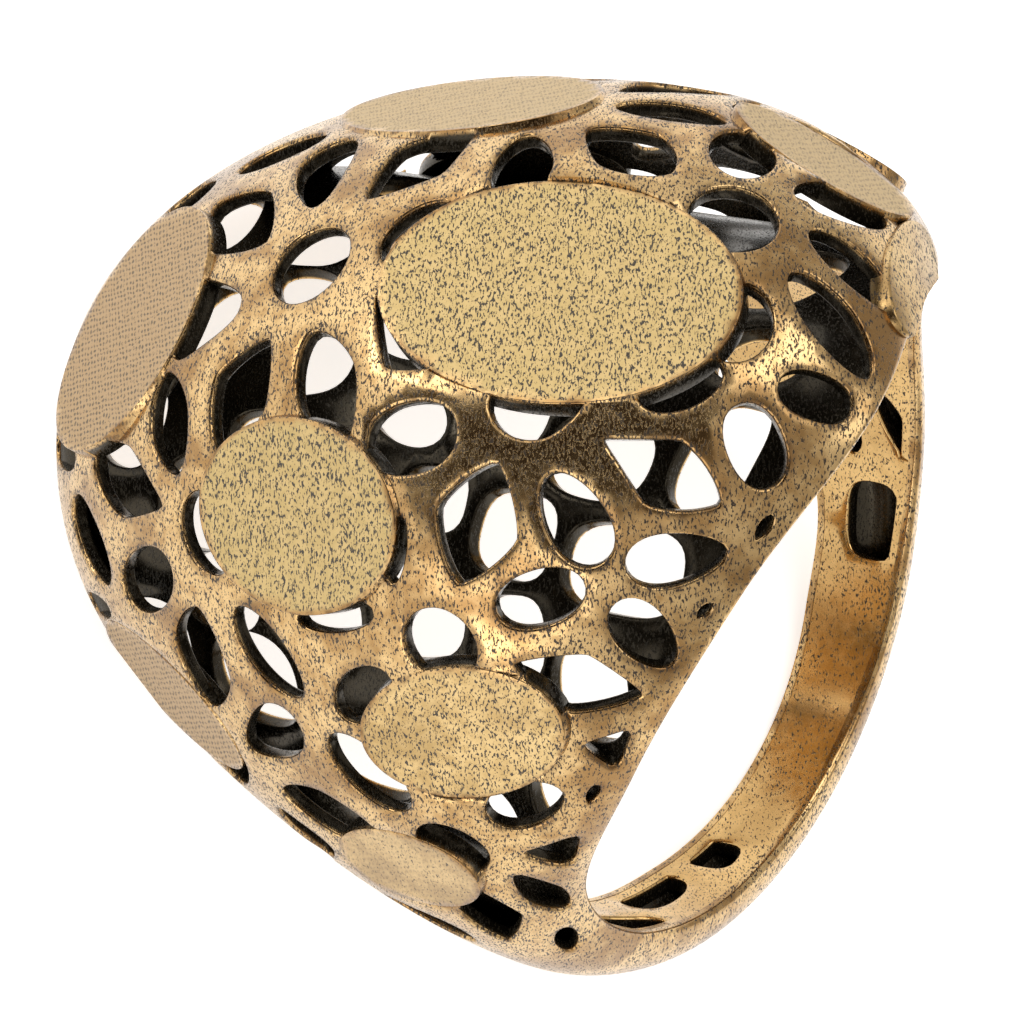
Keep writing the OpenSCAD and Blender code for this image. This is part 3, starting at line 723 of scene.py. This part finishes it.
# %% The sheet's border and the points between the lines
FILL_SPACING = 0.3
RIM_STEP = 0.25
SEAM_POINTS = 18
SHEET_REACH = 30
KEEP_OFF = 0.11
RIM_ROWS = (0.06, 0.15, 0.28, 0.45)
FIRST, LAST = -90 * ROUND_SCALE, 270 * ROUND_SCALE
round_at = np.linspace(FIRST, LAST, int(round((LAST - FIRST) / RIM_STEP)) + 1)
rim_limit = rim_across(round_at / ROUND_SCALE)
near_rim = lay_flat(round_at / ROUND_SCALE, -rim_limit)
far_rim = lay_flat(round_at / ROUND_SCALE, rim_limit)
border = sheet_border(near_rim, far_rim, FIRST, LAST, SEAM_POINTS)
fill = []
for k, a in enumerate(np.arange(FIRST + 0.15, LAST - 0.05, FILL_SPACING * math.sqrt(0.75))):
    low = np.interp(a, near_rim[:, 0], near_rim[:, 1])
    high = np.interp(a, far_rim[:, 0], far_rim[:, 1])
    start = (k % 2) * FILL_SPACING / 2
    ends = RIM_ROWS[-1] + FILL_SPACING / 2
    places = np.arange(-SHEET_REACH + start, SHEET_REACH, FILL_SPACING)
    fill += [(a, b) for b in places if low + ends < b < high - ends]
for a, low, high in zip(round_at[1:-1], near_rim[1:-1, 1], far_rim[1:-1, 1]):
    fill += [(a, low + row) for row in RIM_ROWS] + [(a, high - row) for row in RIM_ROWS]
fill = np.array(fill)
to_gap, _ = nearest(fill, gap_loops)
to_plate, _ = nearest(fill, plate_loops)
open_place = (to_gap > EDGE_ROUND + KEEP_OFF * 0.6) & (np.abs(to_plate) > KEEP_OFF)
on_plate = to_plate < -KEEP_OFF
fill = fill[open_place | on_plate]
flat_points, triangles = cut_sheet(border, rings, fill)
print("flat sheet:", len(flat_points), "points,", len(triangles), "triangles")

# %% Drop what the gaps take away
middles = flat_points[triangles].mean(1)
gap_at, _ = nearest(middles, gap_loops)
plate_at, _ = nearest(middles, plate_loops)
triangles = face_up(flat_points, triangles[~((gap_at < 0) & (plate_at > 0))])
print("kept", len(triangles), "triangles")

# %% [markdown]
# ## The sheet bent round the finger
# Each point of the sheet goes to its place on the skin. Near a gap it drops along a quarter circle,
# so the edge is soft and catches light. On a plate it goes to the plate's own plane instead, and a
# narrow strip round the plate forms the step that frames it. A second copy, one wall lower, is the
# shell's back, and skirts of quads join the two round every gap and along both rims.

# %% Where every point of the sheet goes
PLATE_THICKNESS = 0.55
PLATE_PROUD = 0.12
PLATE_GROOVE = 0.03
SINK_SHARE = 0.4
SLIM_WALL = 0.33
SLIM_RISE = 0.8


def fullness(angle):
    """0 where the band is as low as the shank, 1 where it is well up the dome."""
    return np.clip((band_column(angle, 2) - SECTIONS[0, 2]) / SLIM_RISE, 0, 1)


def quarter(distance, radius):
    """How far an edge has dropped at a distance from it."""
    d = np.clip(distance, 0, radius)
    return radius - np.sqrt(radius**2 - (radius - d) ** 2)


def plate_plane(row, loop, height):
    """A plate's middle, outward direction and level, from the dome round it."""
    _, _, out = skin_axes(float(row[0]), float(row[1]))
    middle = skin(float(row[0]), float(row[1]))
    drops = (skin(*pick_up(loop)) - middle) @ out
    level = drops.min() + SINK_SHARE * np.ptp(drops) + PLATE_PROUD + height
    return middle, out, level


planes = [plate_plane(*plate) for plate in zip(plate_rows, plate_loops, plate_heights)]
angle_at, across_at = pick_up(flat_points)
to_gap, _ = nearest(flat_points, gap_loops)
to_plate, which_plate = nearest(flat_points, plate_loops)
surface = skin(angle_at, across_at)
_, _, outward = skin_axes(angle_at, across_at)
on_plate = to_plate < 1e-3
drop = np.where(on_plate, quarter(-to_plate, PLATE_ROUND), quarter(to_gap, EDGE_ROUND))
drop = np.where(~on_plate & (to_plate < PLATE_STEP * 1.05), drop + PLATE_GROOVE, drop)
full = fullness(angle_at)
wall = SLIM_WALL + (SHELL_WALL - SLIM_WALL) * full * full * (3 - 2 * full)
top = surface - outward * drop[:, None]
back = surface - outward * (wall - drop)[:, None]
for k, (middle, out, level) in enumerate(planes):
    mine = on_plate & (which_plate == k)
    base = surface[mine] - np.outer((surface[mine] - middle) @ out, out)
    top[mine] = base + np.outer(level - drop[mine], out)
    back[mine] = base + np.outer(level - PLATE_THICKNESS + drop[mine], out)
print("plates stand", [round(float(p[2]), 2) for p in planes], "mm from the dome's own bulge")

# %% Keep the back off the finger
BACK_CLEAR = 0.03
radius = np.hypot(back[:, 0], back[:, 2])
grow = np.maximum(1, (FINGER + BACK_CLEAR) / np.maximum(radius, 1e-6))
back[:, 0] *= grow
back[:, 2] *= grow
print("the back stays", round(float(np.hypot(back[:, 0], back[:, 2]).min() - FINGER), 3), "mm off")


# %% Edges on the outside of the kept triangles
def open_edges(faces):
    """Directed edges that belong to one triangle alone."""
    directed = np.vstack([faces[:, [0, 1]], faces[:, [1, 2]], faces[:, [2, 0]]])
    big = int(faces.max()) + 1
    code = directed.min(1) * big + directed.max(1)
    _, first, count = np.unique(code, return_index=True, return_counts=True)
    return directed[first[count == 1]]


SEAM_NEAR = 1e-4
RIM_NEAR = 1e-3


def lies_on(ends, line, reach=SEAM_NEAR):
    """Whether both ends of each edge lie on a line."""
    return np.all(np.abs(ends - line) < reach, axis=1)


edges = open_edges(triangles)
flat_a, flat_b = flat_points[edges][..., 0], flat_points[edges][..., 1]
on_seam = lies_on(flat_a, FIRST) | lies_on(flat_a, LAST)
low_rim = np.interp(flat_a, near_rim[:, 0], near_rim[:, 1])
high_rim = np.interp(flat_a, far_rim[:, 0], far_rim[:, 1])
on_near = lies_on(flat_b, low_rim, RIM_NEAR)
on_far = lies_on(flat_b, high_rim, RIM_NEAR)
print(len(edges), "open edges:", int(on_seam.sum()), "seam,",
      int(on_near.sum() + on_far.sum()), "rim")


# %% Join the front to the back with skirts
def skirt(edges, back_index, levels, points, faces, notes):
    """Quads from the front's edge to the back's, whose points come back_index later in the list.

    levels gives, for each row of quads between, a place for every vertex and the row's depth.
    """
    ids = np.unique(edges)
    index = {int(v): [int(v)] for v in ids}
    for ring, note in levels:
        for v in ids:
            index[int(v)].append(len(points))
            points.append(ring[v])
            notes.append(note)
    for v in ids:
        index[int(v)].append(int(v) + back_index)
    for p, q in edges:
        a, b = index[int(p)], index[int(q)]
        faces += [(a[k], b[k], b[k + 1], a[k + 1]) for k in range(len(a) - 1)]


# Columns: share of the way to the back, how deep the finish takes the wall to be there
GAP_SKIRT = ((0.1, 0.12), (0.4, 0.6))
all_points = list(top) + list(back)
notes = [0.0] * len(top) + [1.0] * len(back)
faces = [tuple(f[::-1]) for f in triangles] + [tuple(f + len(top)) for f in triangles]
gap_edges = edges[~on_seam & ~on_near & ~on_far]
skirt(gap_edges, len(top),
      [(top * (1 - share) + back * share, note) for share, note in GAP_SKIRT],
      all_points, faces, notes)
LAND = 0.3
along = surface[:, 1]
for mine, way in ((on_near, -1.0), (on_far, 1.0)):
    turned = [
        (round_finger(angle_at, FINGER + RIM_ROUND * (1 - math.sin(t)),
                      along - way * RIM_ROUND * (1 - math.cos(t))), 0.0)
        for t in (math.pi / 8, math.pi / 4, 3 * math.pi / 8, math.pi / 2)
    ]
    turned.append((round_finger(angle_at, FINGER, along - way * LAND), 0.0))
    skirt(edges[mine], len(top), turned, all_points, faces, notes)
print("shell has", len(all_points), "points and", len(faces), "faces")

# %% [markdown]
# ## The finger wall
# Seen through the gaps, a second wall runs close round the finger: a lattice of broad dark struts,
# which closes into the shank's inner side. It is cut flat in the same way, with its own windows,
# and rolled up. Its edges end inside the metal of the rims.

# %% The lattice cut flat
WALL_SCALE = 0.165
WALL_RECESS = 0.012
EDGE_SHARE = 0.4
WALL_SECTIONS = 241
WALL_SEAM_POINTS = 9
WALL_ROW, WALL_STEP, WALL_REACH = 0.42, 0.5, 15
WINDOW_KEEP = 0.35
WINDOW_SPACING = 0.2
STRETCH_FROM = 0.8
WINDOW_SKIRT = ((0.5, 0.8), (0.92, 0.25))


def wall_edge(angle, way, lift):
    """How far along the finger the lattice reaches at a height over the finger."""
    height = band_column(angle, 2)
    across = (1 - (lift / height) ** (1 / EDGE_POWER)) ** (1 / ROUND_POWER)
    side = band_column(angle, 0 if way < 0 else 1)
    inset = EDGE_SHARE * (SLIM_WALL + (SHELL_WALL - SLIM_WALL) * fullness(angle))
    return way * (side * across - inset) - LEAN * lift


wall_round = np.linspace(-90 * WALL_SCALE, 270 * WALL_SCALE, WALL_SECTIONS)
wall_near = wall_edge(wall_round / WALL_SCALE, -1, FINGER_WALL)
wall_far = wall_edge(wall_round / WALL_SCALE, 1, FINGER_WALL)
wall_rims = [np.stack([wall_round, rim], -1) for rim in (wall_near, wall_far)]
wall_border = sheet_border(*wall_rims, wall_round[0], wall_round[-1], WALL_SEAM_POINTS)
NARROWEST = 0.3
window_loops = []
for row, shape in zip(window_rows, window_shapes):
    angle = (row[0] + 90) % 360 - 90
    placed = np.stack([WALL_SCALE * angle + shape[:, 1], row[1] + shape[:, 0]], -1)
    low = np.interp(placed[:, 0], wall_round, wall_near) + WINDOW_KEEP
    high = np.interp(placed[:, 0], wall_round, wall_far) - WINDOW_KEEP
    placed[:, 1] = np.clip(placed[:, 1], low, high)
    if np.ptp(placed[:, 1]) > NARROWEST:
        window_loops.append(even_loop(placed, WINDOW_SPACING))
wall_fill = []
for k, a in enumerate(np.arange(wall_round[0] + 0.25, wall_round[-1] - 0.1, WALL_ROW)):
    low, high = np.interp(a, wall_round, wall_near), np.interp(a, wall_round, wall_far)
    places = np.arange(-WALL_REACH + WALL_STEP / 2 * (k % 2), WALL_REACH, WALL_STEP)
    wall_fill += [(a, b) for b in places if low + 0.2 < b < high - 0.2]
wall_fill = np.array(wall_fill)
wall_fill = wall_fill[nearest(wall_fill, window_loops)[0] > EDGE_ROUND + 0.1]
wall_points, wall_triangles = cut_sheet(wall_border, soft_lines(window_loops), wall_fill)
outside = nearest(wall_points[wall_triangles].mean(1), window_loops)[0] > 0
wall_triangles = face_up(wall_points, wall_triangles[outside])
print("finger wall:", len(wall_points), "points,", len(wall_triangles), "triangles")

# %% The lattice rolled up
wall_angle = wall_points[:, 0] / WALL_SCALE
wall_drop = quarter(nearest(wall_points, window_loops)[0], EDGE_ROUND)
edge_low, edge_high = wall_edge(wall_angle, -1, FINGER_WALL), wall_edge(wall_angle, 1, FINGER_WALL)
bore_low, bore_high = wall_edge(wall_angle, -1, 0.0), wall_edge(wall_angle, 1, 0.0)
share = wall_points[:, 1] / np.where(wall_points[:, 1] < 0, edge_low, edge_high)
stretch = np.clip((share - STRETCH_FROM) / (1 - STRETCH_FROM), 0, 1)
bore_edge = np.where(wall_points[:, 1] < 0, bore_low, bore_high)
bore_along = wall_points[:, 1] * (1 - stretch) + bore_edge * stretch * share
wall_top = round_finger(wall_angle, FINGER + FINGER_WALL - wall_drop, wall_points[:, 1])
wall_back = round_finger(wall_angle, FINGER + WALL_RECESS + wall_drop, bore_along)
wall_edges = open_edges(wall_triangles)
side_a = wall_points[wall_edges][..., 0]
wall_seam_edges = lies_on(side_a, wall_round[0]) | lies_on(side_a, wall_round[-1])
lattice_points = list(wall_top) + list(wall_back)
lattice_notes = [1.0] * len(wall_top) + [0.0] * len(wall_back)
lattice_faces = ([tuple(f[::-1]) for f in wall_triangles]
                 + [tuple(f + len(wall_top)) for f in wall_triangles])
skirt(wall_edges[~wall_seam_edges], len(wall_top),
      [(wall_top * (1 - share) + wall_back * share, note) for share, note in WINDOW_SKIRT],
      lattice_points, lattice_faces, lattice_notes)
print("lattice has", len(lattice_points), "points and", len(lattice_faces), "faces")

# %% [markdown]
# ## The plate on the near rim
# One plate sits on the very edge of the dome and overhangs it a little, so it can't be cut from the
# flat sheet. It is a small closed disc with a rounded rim, sunk into the shell, and held off the
# finger hole.

# %% A disc of its own
RIM_PLATE_POINTS = 64
LEVEL_POINTS = 8
DISC_ROUND = 0.06
SHARE_STEP = 0.02


def oval(row, count, inset=0.0):
    """Points round a plate's outline in its own plane, as pairs: across, round."""
    t = np.linspace(0, 2 * math.pi, count, endpoint=False)
    x, y = (row[2] / 2 - inset) * np.cos(t), (row[3] / 2 - inset) * np.sin(t)
    turn = math.radians(row[4])
    return np.stack([x * math.sin(turn) + y * math.cos(turn),
                     x * math.cos(turn) - y * math.sin(turn)], -1)


def disc(row):
    """Points and faces of a plate that overhangs the rim."""
    angle, across = float(row[0]), float(row[1])
    across_way, round_way, out = skin_axes(angle, across)
    middle = skin(angle, across)
    per_degree = np.linalg.norm(skin(angle + 1, across) - middle)
    per_across = np.linalg.norm(skin(angle, across + 0.01) - middle) / 0.01
    rim = oval(row, LEVEL_POINTS)
    drops = (skin(angle + rim[:, 1] / per_degree,
                  np.clip(across + rim[:, 0] / per_across, -1, 1)) - middle) @ out
    level = drops.min() + SINK_SHARE * np.ptp(drops) + PLATE_PROUD + row[5]
    bend = DISC_ROUND * HALF_TURN
    low = level - PLATE_THICKNESS
    rows = [(DISC_ROUND, level), (bend, level - bend), (0, level - DISC_ROUND),
            (0, low + DISC_ROUND), (bend, low + bend), (DISC_ROUND, low)]
    points = []
    for inset, height in rows:
        centre = middle + out * height
        for a, b in oval(row, RIM_PLATE_POINTS, inset):
            reach = across_way * a + round_way * b
            share = 1.0
            while np.hypot(*(centre + reach * share)[[0, 2]]) < FINGER + BACK_CLEAR and share > 0:
                share -= SHARE_STEP
            points.append(centre + reach * share)
    count = RIM_PLATE_POINTS
    faces = [(r * count + k, r * count + (k + 1) % count, (r + 1) * count + (k + 1) % count,
              (r + 1) * count + k) for r in range(len(rows) - 1) for k in range(count)]
    last = (len(rows) - 1) * count
    faces += [tuple(range(count))[::-1], tuple(range(last, last + count))]
    return points, faces


disc_points, disc_faces = disc(rim_plate)
disc_out = float(np.hypot(*disc_points[0][[0, 2]]) - FINGER)
print("rim plate's edge stands", round(disc_out, 2), "mm over the finger")

# %% [markdown]
# ## The ring laid down
# A ring of this form rests on its far rim and on the far edge of its shank. The CAD model lies like
# that, so the worn ring is turned by the same angle and moved by the same steps.

# %% Build the piece
TILT, SHIFT, DROP = 53.4379, 3.5965, 6.49569
laid = (Matrix.Translation((0, -SHIFT / 1000, DROP / 1000))
        @ Matrix.Rotation(math.radians(-TILT), 4, "X") @ Matrix.Scale(0.001, 4))


def solid_from(points, faces, name):
    mesh = bpy.data.meshes.new(name)
    mesh.from_pydata([tuple(p) for p in points], [], faces)
    mesh.transform(laid)
    return mesh


def add_notes(mesh, **notes):
    """What the finish asks about every point: one value for all of them, or a list."""
    for name, values in notes.items():
        values = np.zeros(len(mesh.vertices)) + values
        mesh.attributes.new(name, "FLOAT", "POINT").data.foreach_set("value", values)


def weld(mesh):
    """Join the points that lie on one another, and turn the faces outward."""
    bm = bmesh.new()
    bm.from_mesh(mesh)
    bmesh.ops.remove_doubles(bm, verts=bm.verts, dist=2e-7)
    loose = [v for v in bm.verts if not v.link_faces]
    bmesh.ops.delete(bm, geom=loose, context="VERTS")
    if bm.calc_volume(signed=True) < 0:
        bmesh.ops.reverse_faces(bm, faces=bm.faces)
    open_count = sum(1 for e in bm.edges if len(e.link_faces) != 2)
    print(mesh.name, "volume", round(bm.calc_volume() * 1e9, 1), "mm3, unpaired edges", open_count)
    bm.to_mesh(mesh)
    bm.free()


# How much further off a web's edge counts to lie where that edge is a plate's
PLATE_SHADE = 0.18
shell = solid_from(all_points, faces, "shell")
behind = np.zeros(len(all_points) - len(top))
flecked, woven = (PLATE_MARKS[which_plate] * on_plate[:, None]).T
web_gap = np.minimum(to_gap, np.abs(to_plate) + PLATE_SHADE)
rim_gap = np.where(on_plate, np.abs(to_plate), web_gap)
add_notes(shell, depth=notes, plate=np.r_[flecked * (to_plate < -PLATE_ROUND), behind],
          edge=np.r_[rim_gap, behind + 1], hatched=np.r_[woven, behind], inside=0)
weld(shell)

lattice = solid_from(lattice_points, lattice_faces, "lattice")
add_notes(lattice, depth=lattice_notes, plate=0, edge=1, hatched=0,
          inside=1 - np.array(lattice_notes))
weld(lattice)

rim_disc = solid_from(disc_points, disc_faces, "rim_disc")
add_notes(rim_disc, depth=0, plate=RIM_PLATE_FLECKS, edge=1, hatched=0, inside=0)
weld(rim_disc)

# %% One casting
SHARP_FROM = 50
casting = bpy.data.meshes.new("openwork_ring")
bm = bmesh.new()
for part in (shell, lattice, rim_disc):
    bm.from_mesh(part)
bm.to_mesh(casting)
bm.free()
casting.materials.append(brass)
for polygon in casting.polygons:
    polygon.use_smooth = True
casting.set_sharp_from_angle(angle=math.radians(SHARP_FROM))
ring = add_object("openwork_ring", casting)
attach(ring, "root")
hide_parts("ring")
casting.calc_loop_triangles()
print("ring has", len(casting.loop_triangles), "triangles")

# %% [markdown]
# ## Floor, light and camera
# The floor is a plain pale sheet. The light is a tent, as in a jewellery studio: a pale world that
# is brighter on the left, a dark soft patch that gives the metal something to mirror, and six small
# lamps. The camera looks at the ring from the angle of the photograph, rolled so that the dome
# stands upright in the picture.

# %% Floor
FLOOR_SIZE = 0.6
FLOOR_FINISH = {
    "Base Color": (0.92, 0.92, 0.92, 1), "Roughness": 0.9, "Specular IOR Level": 0.1,
    "Emission Color": (1, 1, 1, 1), "Emission Strength": 0.64,
}


def pale_floor():
    material, _, shader = new_material("pale_floor")
    for name, value in FLOOR_FINISH.items():
        shader.inputs[name].default_value = value
    return material


floor_mesh = bpy.data.meshes.new("floor")
half = FLOOR_SIZE / 2
corners = [(-half, -half, 0), (half, -half, 0), (half, half, 0), (-half, half, 0)]
floor_mesh.from_pydata(corners, [], [(0, 1, 2, 3)])
floor = add_object("floor", floor_mesh)
floor_mesh.materials.append(pale_floor())

# %% Camera
LENS = 120.95
EYE = Vector((-0.0359334, 0.0149633, 0.0865727))
camera_data = bpy.data.cameras.new("camera")
camera_data.lens = LENS
camera_data.sensor_width = 36
camera_data.clip_start = 0.005
camera_data.clip_end = 10
camera = add_object("camera", camera_data)
camera.matrix_world = (Matrix.Translation(EYE)
                       @ Matrix((GRAIN_RIGHT, GRAIN_UP, GRAIN_BACK)).transposed().to_4x4())
bpy.context.scene.camera = camera

# %% Lights
TENT_LEFT = (1.05, 1.02, 0.98, 1)
TENT_RIGHT = (0.62, 0.60, 0.57, 1)
DARK_SIDE = (0.02, 0.012, 0.008, 1)
DARK_RIGHT, DARK_UP = -0.42, 0.20
DARK_WIDE, DARK_TALL = 0.62, 0.45
DARK_EDGE = (1.2, 0.60)
TENT_FADE = (0.6, -0.4)


def studio():
    """A pale tent, brighter on the left, with a dark soft patch on the photographer's side."""
    world = bpy.data.worlds.new("studio")
    world.use_nodes = True
    tree = world.node_tree
    way = out_of(tree, add_node(tree, "ShaderNodeTexCoord"), "Generated")

    def part_along(axis):
        node = add_node(tree, "ShaderNodeVectorMath", {"operation": "DOT_PRODUCT"}, Vector=way)
        node.inputs[1].default_value = axis
        return out_of(tree, node, "Value")

    off_right = (part_along(GRAIN_RIGHT) - DARK_RIGHT) / DARK_WIDE
    off_up = (part_along(GRAIN_UP) - DARK_UP) / DARK_TALL
    spread = off_right * off_right + off_up * off_up
    dark = ramp_up(spread, *DARK_EDGE) * ramp_up(part_along(GRAIN_BACK), 0.0, 0.3)
    tent = mix_colour(tree, ramp_up(part_along(GRAIN_RIGHT), *TENT_FADE), TENT_RIGHT, TENT_LEFT)
    plug(tree, tree.nodes["Background"].inputs["Color"], mix_colour(tree, dark, tent, DARK_SIDE))
    return world


bpy.context.scene.world = studio()
bpy.context.scene.view_settings.view_transform = "Standard"
MIDDLE = Vector((0, 0, 0.010))
LAMP_DISTANCE = 0.30
# Columns: name, right, up, back, size in metres, power in watts
LAMPS = [
    ("key", -0.70, -0.50, 0.75, 0.20, 0.17),
    ("top", -0.50, 0.78, 0.32, 0.14, 0.07),
    ("glint", -0.80, 0.58, 0.20, 0.08, 0.10),
    ("low", -0.52, -0.72, 0.42, 0.12, 0.09),
    ("fill", 0.9, 0.1, 0.5, 0.14, 0.08),
    ("right", 0.36, 0.62, 0.70, 0.16, 0.16),
]


def lamp(name, right, up, back, size, power):
    """A square lamp that faces the ring, placed by the camera's own directions."""
    way = (GRAIN_RIGHT * right + GRAIN_UP * up + GRAIN_BACK * back).normalized()
    data = bpy.data.lights.new(name, "AREA")
    data.size = size
    data.energy = power
    light = add_object(name, data)
    light.matrix_world = (Matrix.Translation(MIDDLE + way * LAMP_DISTANCE)
                          @ way.to_track_quat("Z", "Y").to_matrix().to_4x4())


for row in LAMPS:
    lamp(*row)
print(len(LAMPS), "lamps round the ring")
